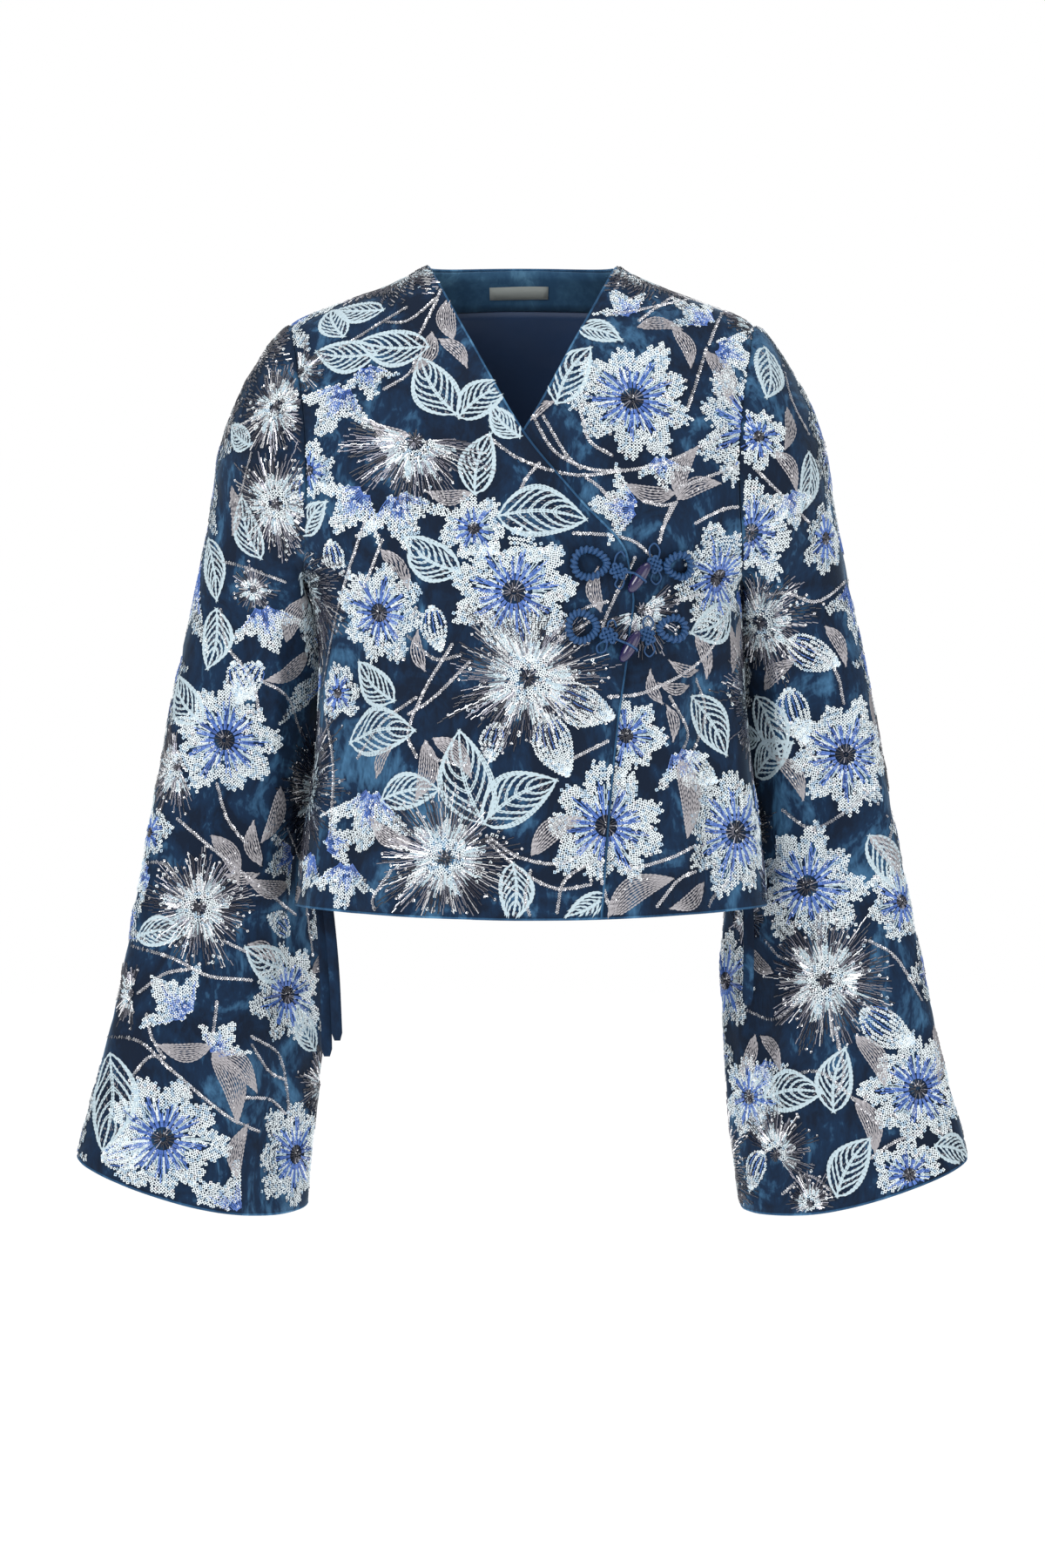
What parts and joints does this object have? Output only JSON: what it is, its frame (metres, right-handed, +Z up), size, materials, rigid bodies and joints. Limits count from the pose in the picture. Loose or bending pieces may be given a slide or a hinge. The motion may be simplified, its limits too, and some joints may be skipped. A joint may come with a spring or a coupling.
{
  "type": "velvet jacket",
  "caption": "Cropped collarless wrap jacket of embroidered dark blue velvet with a V neck, wide bell sleeves and knotted cord closures with toggles.",
  "frame": {"origin": "middle of the neck opening, level with the inner ends of the shoulder seams, where the garment is held by the wearer's shoulders", "axes": "+Z up, the front faces -Y, +X towards the wearer's left"},
  "size_m": [0.7168, 0.2454, 0.764],
  "materials": {
    "velvet": "crushed velvet",
    "lining": "smooth satin",
    "label": "woven, matt",
    "cord": "wound silky cord",
    "toggle": "polished"
  },
  "bodies": {
    "root": {"back": "velvet", "front_right": "velvet", "front_left": "velvet", "sleeve_right": "velvet", "sleeve_left": "velvet", "neck_facing": "velvet", "back_lining": "lining", "neck_label": "label", "frog_upper_loop_ring": "cord", "frog_upper_toggle_ring": "cord", "frog_upper_button_loop": "cord", "frog_upper_loop_knot": "cord", "frog_upper_toggle_knot": "cord", "frog_upper_toggle": "toggle", "frog_lower_loop_ring": "cord", "frog_lower_toggle_ring": "cord", "frog_lower_button_loop": "cord", "frog_lower_loop_knot": "cord", "frog_lower_toggle_knot": "cord", "frog_lower_toggle": "toggle", "tie_right_long": "velvet", "tie_right_short": "velvet", "tie_left": "velvet"}
  },
  "joints": []
}
